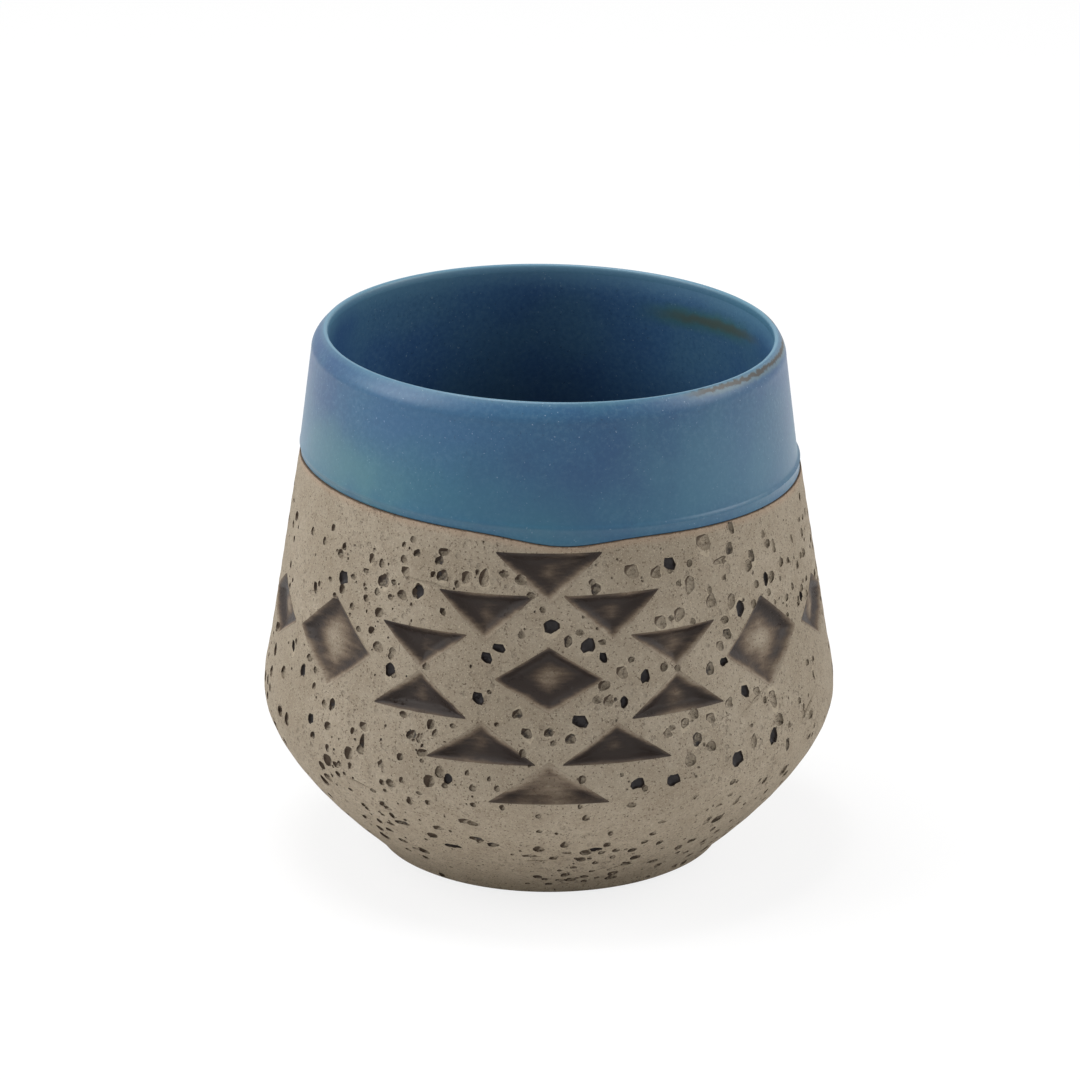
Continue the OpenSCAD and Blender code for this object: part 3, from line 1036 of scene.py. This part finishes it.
def coat_of(source, name, attribute, thickness):
    """A thin closed coat over the faces that an attribute marks."""
    sheet = bmesh.new()
    sheet.from_mesh(source.data)
    mark = sheet.faces.layers.float[attribute]
    bmesh.ops.delete(sheet, geom=[f for f in sheet.faces if f[mark] < 0.5], context="FACES")
    mesh = bpy.data.meshes.new(name)
    sheet.to_mesh(mesh)
    sheet.free()
    piece = bpy.data.objects.new(name, mesh)
    bpy.context.scene.collection.objects.link(piece)
    solid = piece.modifiers.new("thickness", "SOLIDIFY")
    solid.thickness = thickness
    solid.offset = 1
    shown = piece.evaluated_get(bpy.context.evaluated_depsgraph_get())
    closed = bpy.data.meshes.new_from_object(shown)
    piece.modifiers.remove(solid)
    piece.data = closed
    print(name, len(closed.polygons), "faces")
    return piece


wash = coat_of(clay, "oxide_wash", "stamped", WASH_T)
smooth(wash, 38)

# %% [markdown]
# ## The glazed band
# The cup is dipped upside down, so the glaze has one edge that runs round the wall.
# It is a skin under half a millimetre thick: from its rounded lower edge it lies in
# a shallow groove, swells over the crease in a soft bead and runs straight up. Over
# its last few millimetres it leans in to a narrow round crown, from which it slopes
# down to the liner. Its grid is bent from ring to ring to follow edge, crease and rim.

# %% Pour the band
GROOVE_T = 0.28
BEAD_T, BEAD_H = 0.06, 0.55
EDGE_ROUND = 0.16
# Angles in degrees at which the round crown starts outside and ends inside
CROWN_FROM, CROWN_TO = 35, 140


def band_rings():
    """Radius and height of each ring of the band's outer and hidden side."""
    edge, crease, rim = edge_at(angles), crease_at(angles), cup_h - rim_fall(angles)
    lip_low = rim - lip_r
    rows = []
    # Rounded lower edge
    under_edge = wall_r(edge) - GROOVE_T
    for inset, rise in ((glaze_t, 0.0), (0.2, 0.0), (0.06, 0.05), (0.0, EDGE_ROUND)):
        rows.append((under_edge - inset, edge + rise))
    # Groove, up to the bead on the crease
    for share in np.linspace(0, 1, 9)[1:]:
        height = edge + EDGE_ROUND + (crease - edge - EDGE_ROUND) * share
        bead = BEAD_T * np.exp(-(((crease - height) / BEAD_H) ** 2))
        rows.append((wall_r(height) - GROOVE_T * (1 - share**2) + bead, height))
    # Straight wall
    straight = 1 - (LIP_FALL - lip_r) / (lip_low - crease)
    for part in np.r_[np.linspace(0, 0.12, 7)[1:], np.linspace(0.12, 1, 22)[1:]]:
        share = part * straight
        height = crease + (lip_low - crease) * share
        bead = BEAD_T * np.exp(-(((height - crease) / BEAD_H) ** 2))
        rows.append((crease_r + (rim_r - crease_r) * share + bead, height))
    # Leaning lip
    crown_r, crown_h = CROWN_MIDDLE + CROWN_SHIFT * np.sin(angles), rim - CROWN_R
    side_r = crease_r + (rim_r - crease_r) * straight
    first, last = math.radians(CROWN_FROM), math.radians(CROWN_TO)
    edge_r, edge_h = crown_r + CROWN_R * math.cos(first), crown_h + CROWN_R * math.sin(first)
    for share in np.linspace(0, 1, 13)[1:]:
        lean = side_r - (side_r - edge_r) * share**LIP_LEAN
        rows.append((lean, rim - LIP_FALL + (edge_h - rim + LIP_FALL) * share))
    # Round crown
    for turn in np.linspace(first, last, 8)[1:]:
        rows.append((crown_r + CROWN_R * np.cos(turn), crown_h + CROWN_R * np.sin(turn)))
    # Slope down to the liner, whose edge it meets in a seam
    inner_r, inner_h = rows[-1]
    wider = mouth(lip_h, angles)
    for share in (0.25, 0.5, 0.75, 1):
        lean = inner_r + (rim_r - 2 * lip_r + wider - inner_r) * (1 - (1 - share) ** 1.6)
        rows.append((lean, inner_h + (lip_low - inner_h) * share))
    rows.append((liner_edge_r + wider, lip_low))
    # Hidden side: over the clay's round core in the lip, then down to the crease
    for turn in np.radians(np.linspace(180, 0, 7)):
        core_h = lip_low - CORE_DROP + CORE_R * np.sin(turn)
        rows.append((core_middle[0] + wider + CORE_R * np.cos(turn), core_h))
    core_out, seat_out = core_middle[0] + wider + CORE_R, crease_r - glaze_t
    for share in np.linspace(1, 0, 6)[1:]:
        height = crease + (lip_low - CORE_DROP - crease) * share
        rows.append((seat_out + (core_out - seat_out) * share, height))
    radius, height = (np.array([row[k] for row in rows]) for k in (0, 1))
    return radius, height


radius, height = band_rings()
band = turned("glaze_band", radius, height, np.tile(angles, (len(radius), 1)), ring_closes=True)
smooth(band, 60)

# %% [markdown]
# ## The liner
# The same glaze lines the inside. It is one bowl-shaped skin from the middle of the
# floor to the lip, where it meets the band. It sinks with the rim on the right, where
# the mouth also opens a little wider. Its hidden back has fewer rings than its face.

# %% Pour the liner
FACE_STEP, BACK_STEP = 1.1, 4
face = spaced(inside(0), FACE_STEP)[::-1]
back = spaced(inside(glaze_t), BACK_STEP)
radius, height, angle = rings(np.vstack([back, face]))
liner = turned("glaze_liner", radius + mouth(height, angle), settled(height, angle), angle)
smooth(liner, 60)

# %% [markdown]
# ## Finishes
# Every finish is one shader whose colour is built up in layers, each mixed over the
# last by a mask. The masks come from noise read at the piece's own place in the cup,
# in millimetres, and from the numbers that the cuts left on the faces. So no image is
# laid on, and a finish stays put when the camera or the lamps move, also where it
# paints shade, sheen or a highlight.


# %% A kit for finishes
def material_net(material):
    material.use_nodes = True
    material.node_tree.nodes.clear()
    return Net(material.node_tree)


def finish_material(net, sockets):
    shader = net.node("ShaderNodeBsdfPrincipled", None, sockets)
    net.node("ShaderNodeOutputMaterial", None, {"Surface": shader})


def attribute(net, name):
    return net.node("ShaderNodeAttribute", {"attribute_name": name}).out("Fac")


def here(net):
    """A place in the cup, in millimetres."""
    place = net.node("ShaderNodeTexCoord").out("Object")
    return net.vector("MULTIPLY", place, (1 / MM,) * 3)


def near(net, value, middle, core, fade):
    """1 where a value is near a middle one, with soft ends."""
    return 1 - net.step(net.math("ABSOLUTE", value - middle), core, fade)


def clad(piece, finish):
    piece.data.materials.clear()
    piece.data.materials.append(finish)
    piece.data.polygons.foreach_set("material_index", [0] * len(piece.data.polygons))
    print(piece.name, "has", finish.name, "of", len(finish.node_tree.nodes), "nodes")


# %% [markdown]
# ## Colour of the clay
# The clay is a warm grey-brown with dark specks and pale sand in it, and its colour
# is mixed a little paler towards the foot. Grain of several sizes is mixed from noise.
# Dents finer than the pits are too small to be cut, so they are cells that lower the
# bump and darken the colour, close together only in clusters.

# %% Mix the colour of the clay
# Cells to the millimetre of the finest dents
CRUMB_CELLS = (1.0, 1.9)


def clay_colour(net, place):
    """Colour of the dry clay, and the height of its grain in millimetres."""
    cloud = net.noise(place, 0.06, 3.0)
    mottle = net.noise(place, 0.35, 3.0, 0.6)
    fine = net.noise(place, 1.6, 3.0, 0.7)
    sand = net.noise(place, 5.5, 1.0)
    speck = net.step(net.noise(place, 3.2, 1.0), 0.64, 0.70)
    base = net.mix(net.step(cloud, 0.3, 0.7), colour(138, 128, 112), colour(151, 141, 125))
    # Paler below 32 mm, most at 6 mm
    base = net.mix(net.step(net.split(place)[2], 32, 6) * 0.5, base, colour(164, 151, 131))
    base = net.mix(net.step(mottle, 0.42, 0.68) * 0.4, base, colour(126, 114, 98))
    base = net.mix(net.step(fine, 0.3, 0.75) * 0.5, base, colour(124, 111, 95))
    base = net.mix(net.step(sand, 0.56, 0.74) * 0.4, base, colour(188, 177, 157))
    base = net.mix(speck * 0.7, base, colour(74, 62, 53))
    height = mottle * 0.25 + fine * 0.08 + sand * 0.04
    clustered = net.step(net.noise(place, 0.09, 1.0), 0.42, 0.62)
    for cells in CRUMB_CELLS:
        cell = net.node("ShaderNodeTexVoronoi", {"feature": "F1"}, {"Vector": place, "Scale": cells})
        draw = net.node("ShaderNodeSeparateColor", None, {"Color": cell.out("Color")})
        reach = net.step(draw, 0.5, 1.0) * 0.45 + 0.05
        dent = (1 - net.step(cell / reach, 0.5, 1.0)) * (0.2 + 0.8 * clustered)
        base = net.mix(dent * net.step(draw, 0.6, 0.9) * 0.2, base, colour(84, 72, 62))
        height = height - dent * (0.25 / cells)
    return base, height


# %% [markdown]
# ## Bare clay
# The clay is dry to the touch, so it is rough and hardly shines. Oxide has filled the
# deep pits, which shine a little, and the paler grey at their bottoms is painted sheen.
# The upper left walls of the other pits are painted darker as shade, so they read as
# small crescents, and the collars of the large pits are painted paler as a highlight.
# Just under the glaze the clay is warmer and ends in a thin dark line.


# %% Mix the clay
def painted_crescent_shade(net, place):
    """1 on the upper left walls of the pits, where shade is painted as small crescents."""
    x, y, _ = net.split(place)
    normal = net.node("ShaderNodeTexCoord").out("Normal")
    right = net.vector("NORMALIZE", net.join(y * -1, x, 0.0))
    across = net.vector("DOT_PRODUCT", normal, right).out("Value")
    down = net.split(normal)[2] * -1
    return net.step(across * 0.8 + down * 0.6, 0.02, 0.25)


def mix_clay(finish):
    net = material_net(finish)
    place = here(net)
    base, grain_h = clay_colour(net, place)
    pit, depth = attribute(net, "pit"), attribute(net, "depth")
    rough = net.noise(place, 1.3, 2.0) - 0.5
    ragged = depth + rough * 0.6
    # Every pit: a faint ring at its mouth, painted shade on its upper left walls, and crumbs
    is_pit = net.step(pit, 0.05, 0.2)
    ring = net.step(ragged, -0.1, 0.02) * (1 - net.step(ragged, 0.15, 0.6))
    base = net.mix(ring * is_pit * 0.25, base, colour(66, 54, 46))
    # Painted shade: the upper left walls of every pit are darkened into small crescents
    base = net.mix(painted_crescent_shade(net, place) * is_pit * 0.85, base, colour(54, 42, 35))
    crumbs = net.step(net.noise(place, 2.4, 1.0), 0.55, 0.63)
    base = net.mix(crumbs * is_pit * 0.4, base, colour(76, 66, 58))
    # Deep pits: filled with dark oxide, and the paler grey towards their bottoms is painted sheen
    dark = net.step(pit + rough * 0.9, 0.42, 0.78) * net.step(ragged, -0.12, 0.2)
    oxide_fill_and_sheen = net.mix(net.step(ragged, 0.3, 0.75), colour(38, 31, 28), colour(54, 51, 52))
    base = net.mix(dark, base, oxide_fill_and_sheen)
    # Collars round the large pits: painted a little paler, a highlight where light catches the worn rim
    collar_highlight = 1 - net.step(pit, -0.6, -0.2)
    base = net.mix(collar_highlight * 0.25, base, colour(184, 172, 150))
    # Just under the glaze: warmer, then a thin dark line
    gap = attribute(net, "below_glaze")
    warm = 1 - net.step(gap, 0.1, 1.4)
    base = net.mix(warm * 0.3, base, colour(160, 130, 108))
    line = 1 - net.step(gap + rough * 0.3, 0.03, 0.18)
    base = net.mix(line * 0.7, base, colour(62, 48, 40))
    bump = net.node("ShaderNodeBump", None, {"Strength": 0.8, "Distance": MM, "Height": grain_h})
    finish_material(
        net,
        {
            "Base Color": base,
            "Roughness": 0.92 - 0.5 * net.step(dark, 0.7, 1.0),
            "Normal": bump,
            "Specular IOR Level": 0.2,
        },
    )


mix_clay(FINISHES["bare_clay"])
clad(clay, FINISHES["bare_clay"])

# %% [markdown]
# ## Oxide in the stamps
# The wash is a dark brown film over the same clay colour. How much of it stays, with
# the painted shade under a stamp's upper rim, comes from the number on the stamp's
# rings, broken up by clouds and by level streaks that the sponge drew. Thick wash is
# darker and a little smoother than thin wash.


# %% Mix the oxide
def mix_wash(finish):
    net = material_net(finish)
    place = here(net)
    base, grain_h = clay_colour(net, place)
    # This number holds the oxide and the painted shade under a stamp's upper rim
    oxide = attribute(net, "oxide")
    streaks = net.noise(net.vector("MULTIPLY", place, (0.25, 0.25, 1.1)), 0.9, 4.0, 0.65)
    cloud = net.noise(place, 0.16, 1.0) - 0.5
    spread = oxide + (streaks - 0.5) * 0.9 + cloud * 0.8
    base = net.mix(net.step(spread, -0.35, 0.7) * 0.8, base, colour(90, 74, 61))
    share = net.step(spread, 0.25, 0.95)
    base = net.mix(share * 0.95, base, colour(36, 28, 25))
    bump = net.node("ShaderNodeBump", None, {"Strength": 0.5, "Distance": MM, "Height": grain_h})
    finish_material(
        net,
        {"Base Color": base, "Roughness": 0.85 - 0.35 * share, "Normal": bump, "Specular IOR Level": 0.25},
    )


mix_wash(FINISHES["dark_wash"])
clad(wash, FINISHES["dark_wash"])

# %% [markdown]
# ## Colour of the glaze
# The glaze is a satin blue that pooled and thinned as it melted: deep and pale
# clouds, greener patches, fine flecks and pinholes. It is paler where it runs thin
# along the rim, and at the front right it broke through to brown on the lip. Band
# and liner share these helpers and differ in their tones.


# %% Mix the colour of the glaze
def around_cup(net, place):
    """Angle from the front in degrees, distance from the axis, depth below the rim, height."""
    x, y, z = net.split(place)
    angle = net.math("ARCTAN2", x, y * -1) * math.degrees(1)
    away = net.math("SQRT", x * x + y * y)
    below = cup_h - RIM_FALL * (1 + x / away) / 2 - z
    return angle, away, below, z


def glaze_colour(net, place, tones, green_share):
    """Deep and pale blue in clouds, greener patches, pale flecks and dark pinholes."""
    cloud = net.noise(net.vector("MULTIPLY", place, (1.0, 1.0, 0.7)), 0.035, 3.0)
    patch = net.noise(net.vector("ADD", place, (40.0, 10.0, 0.0)), 0.05, 2.0)
    grain = net.noise(place, 3.6, 0.0)
    base = net.mix(net.step(cloud, 0.38, 0.62), colour(*tones[0]), colour(*tones[1]))
    base = net.mix(net.step(patch, 0.45, 0.65) * green_share, base, colour(*tones[2]))
    fine = net.noise(place, 1.5, 3.0, 0.7)
    base = net.mix(net.step(fine, 0.45, 0.75) * 0.22, base, colour(96, 124, 140))
    base = net.mix(net.step(fine, 0.55, 0.25) * 0.25, base, colour(20, 52, 84))
    base = net.mix(net.step(grain, 0.80, 0.85) * 0.4, base, colour(160, 180, 195))
    return net.mix(net.step(grain, 0.22, 0.16) * 0.5, base, colour(22, 44, 58))


def rim_marks(net, place, base):
    """Paler glaze along the rim, the brown break on the lip at the front right, and its nick."""
    angle, away, below, _ = around_cup(net, place)
    wander = net.noise(place, 1.1, 2.0) - 0.5
    crown_away = away - CROWN_SHIFT * net.math("SINE", angle * math.radians(1))
    outer = net.step(crown_away, CROWN_MIDDLE, CROWN_MIDDLE + 0.3)
    inner = (1 - net.step(below + wander, 0.5, 4.5)) * (1 - outer)
    base = net.mix(inner * 0.6, base, colour(84, 124, 146))
    base = net.mix((1 - net.step(below, 0.1, 0.7)) * 0.2, base, colour(100, 142, 150))
    run = near(net, angle, 68, 25, 36) * outer
    lie = below + wander * 0.5 - (angle - 40) * 0.011
    base = net.mix(near(net, lie, 0.55, 0.2, 0.9) * run * 0.4, base, colour(100, 118, 108))
    brown = near(net, lie + wander * 0.4, 0.4, 0.12, 0.4) * run
    base = net.mix(brown * 0.95, base, colour(34, 27, 14))
    nick = near(net, angle + wander * 6, 104, 3, 6) * (1 - net.step(below + wander, 0.3, 0.6)) * outer
    return net.mix(nick * 0.9, base, colour(66, 54, 40))


def finish_glaze(net, place, base):
    peel = net.noise(place, 2.2, 2.0)
    bump = net.node("ShaderNodeBump", None, {"Strength": 0.3, "Distance": 0.04 * MM, "Height": peel})
    finish_material(net, {"Base Color": base, "Roughness": 0.4, "Normal": bump, "Specular IOR Level": 0.5})


# %% [markdown]
# ## Glaze of the band
# Outside, the blue changes slowly round the cup. A few wide, soft tints stand where
# the glaze looks greener, deeper or paler, and their edges wander with the noise.
# The pale green tint on the left flank is glaze colour and also painted sheen.

# %% Mix the band
# Angle, height, how far the tint reaches round and up, colour and share
TINTS_AND_SHEEN = (
    # Pale green on the left flank: glaze colour with painted sheen of the left lamp
    (-56, 66, 24, 6, (72, 116, 118), 0.5),
    (-18, 66, 26, 7, (40, 92, 110), 0.45),
    (-30, 75, 30, 5, (46, 84, 122), 0.4),
    (8, 69, 24, 9, (20, 58, 98), 0.5),
    (42, 68, 30, 9, (56, 96, 118), 0.5),
)


def mix_band(finish):
    net = material_net(finish)
    place = here(net)
    angle, _, _, height = around_cup(net, place)
    base = glaze_colour(net, place, ((24, 66, 104), (36, 82, 114), (46, 96, 112)), 0.4)
    wander = (net.noise(place, 0.12, 3.0) - 0.5) * 1.6
    base = net.mix(net.step(height + wander * 3, 71, 63) * 0.35, base, colour(36, 92, 112))
    for turn_to, rise, wide, tall, tint, share in TINTS_AND_SHEEN:
        reach = near(net, angle / wide + wander, turn_to / wide, 0.0, 1.3)
        reach = reach * near(net, height / tall - wander, rise / tall, 0.0, 1.4)
        base = net.mix(reach * share, base, colour(*tint))
    finish_glaze(net, place, rim_marks(net, place, base))


mix_band(FINISHES["blue_band"])
clad(band, FINISHES["blue_band"])

# %% [markdown]
# ## Glaze of the liner
# Inside, the blue is paler near the rim and much darker towards the floor, where thicker
# glaze pools and the colour also holds painted shade. A soft olive streak with green
# margins runs aslant a few millimetres under the rim.

# %% Mix the liner
# Middle angle, core, fade, colour and share of the streak's green margins and its olive core
STREAK_BELOW = 4.6
STREAK = ((134, 0.5, 2.6, (62, 100, 98), 0.75), (129, 0.1, 1.1, (78, 80, 66), 0.65))


def mix_liner(finish):
    net = material_net(finish)
    place = here(net)
    angle, _, below, _ = around_cup(net, place)
    base = glaze_colour(net, place, ((48, 80, 120), (58, 94, 130), (72, 110, 130)), 0.4)
    # Darker towards the floor: pooled glaze, and painted shade inside the cup
    base = net.mix(net.step(below, 12, 40) * 0.78, base, colour(18, 38, 60))
    wander = net.noise(place, 0.5, 3.0) - 0.5
    sunk = below + wander * 1.4 - (angle - 110) * 0.035
    for middle, core, fade, tint, share in STREAK:
        streak = near(net, sunk, STREAK_BELOW, core, fade) * near(net, angle, middle, 8, 26)
        base = net.mix(streak * share, base, colour(*tint))
    finish_glaze(net, place, rim_marks(net, place, base))


mix_liner(FINISHES["blue_liner"])
clad(liner, FINISHES["blue_liner"])

# %% [markdown]
# ## Studio
# The cup stands on white paper under three large soft lamps: from the left, from the
# right and from above. The world is a plain pale grey that lights the cup from all
# round, and the camera sees it as white. The floor shows the camera mostly white
# too, and keeps a faint shadow.


# %% Light the cup
def area_light(name, place, aim, size, power):
    data = bpy.data.lights.new(name, "AREA")
    data.size, data.energy = size, power
    lamp = bpy.data.objects.new(name, data)
    bpy.context.scene.collection.objects.link(lamp)
    lamp.location = place
    direction = np.array(aim) - np.array(place)
    flat = math.hypot(direction[0], direction[1])
    lamp.rotation_euler = (
        math.atan2(flat, -direction[2]),
        0,
        math.atan2(direction[1], direction[0]) - math.pi / 2,
    )


def seen(net):
    """1 for rays that show the background: from the camera, a mirror or glass."""
    path = net.node("ShaderNodeLightPath")
    rays = path.out("Is Camera Ray") + path.out("Is Glossy Ray") + path.out("Is Transmission Ray")
    return net.math("MINIMUM", rays, 1.0)


def white_world(strength):
    world = bpy.data.worlds.new("studio")
    world.use_nodes = True
    world.node_tree.nodes.clear()
    net = Net(world.node_tree)
    bright = strength + (1 - strength) * seen(net)
    back = net.node("ShaderNodeBackground", None, {"Color": (1, 1, 1, 1), "Strength": bright})
    net.node("ShaderNodeOutputWorld", None, {"Surface": back})
    bpy.context.scene.world = world


def paper_floor():
    mesh = bpy.data.meshes.new("paper")
    side = 3.0
    corners = [(-side, -side, 0), (side, -side, 0), (side, side, 0), (-side, side, 0)]
    mesh.from_pydata(corners, [], [(0, 1, 2, 3)])
    floor = bpy.data.objects.new("paper_floor", mesh)
    bpy.context.scene.collection.objects.link(floor)
    material = bpy.data.materials.new("white_paper")
    net = material_net(material)
    paper = net.node("ShaderNodeBsdfDiffuse", None, {"Color": (0.9, 0.9, 0.9, 1)})
    glow = net.node("ShaderNodeEmission", None, {"Color": (1, 1, 1, 1), "Strength": 1.0})
    path = net.node("ShaderNodeLightPath")
    shown = net.node("ShaderNodeMixShader", None, {0: path.out("Is Camera Ray") * 0.82, 1: paper, 2: glow})
    net.node("ShaderNodeOutputMaterial", None, {"Surface": shown})
    mesh.materials.append(material)


white_world(0.4)
paper_floor()
area_light("left_window", (-0.62, -0.1, 0.5), (0, 0, 0.04), 0.5, 3.4)
area_light("right_window", (0.65, 0.0, 0.45), (0, 0, 0.04), 0.5, 3.2)
area_light("top_window", (-0.15, 0.1, 0.9), (0, 0, 0.04), 0.4, 5.0)
bpy.context.scene.view_settings.view_transform = "Standard"

# %% [markdown]
# ## Join the frame
# Every piece stands for its node of the imported model, whose own mesh is hidden,
# and rides on its one body.

# %% Hand over
for piece, node, slot in (
    (clay, "clay_body", "bare_clay"),
    (wash, "stamp_wash", "dark_wash"),
    (band, "band_glaze", "blue_band"),
    (liner, "liner_glaze", "blue_liner"),
):
    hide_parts(node)
    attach(piece, "root")
    piece.data.calc_loop_triangles()
    print(piece.name, len(piece.data.loop_triangles), "triangles")
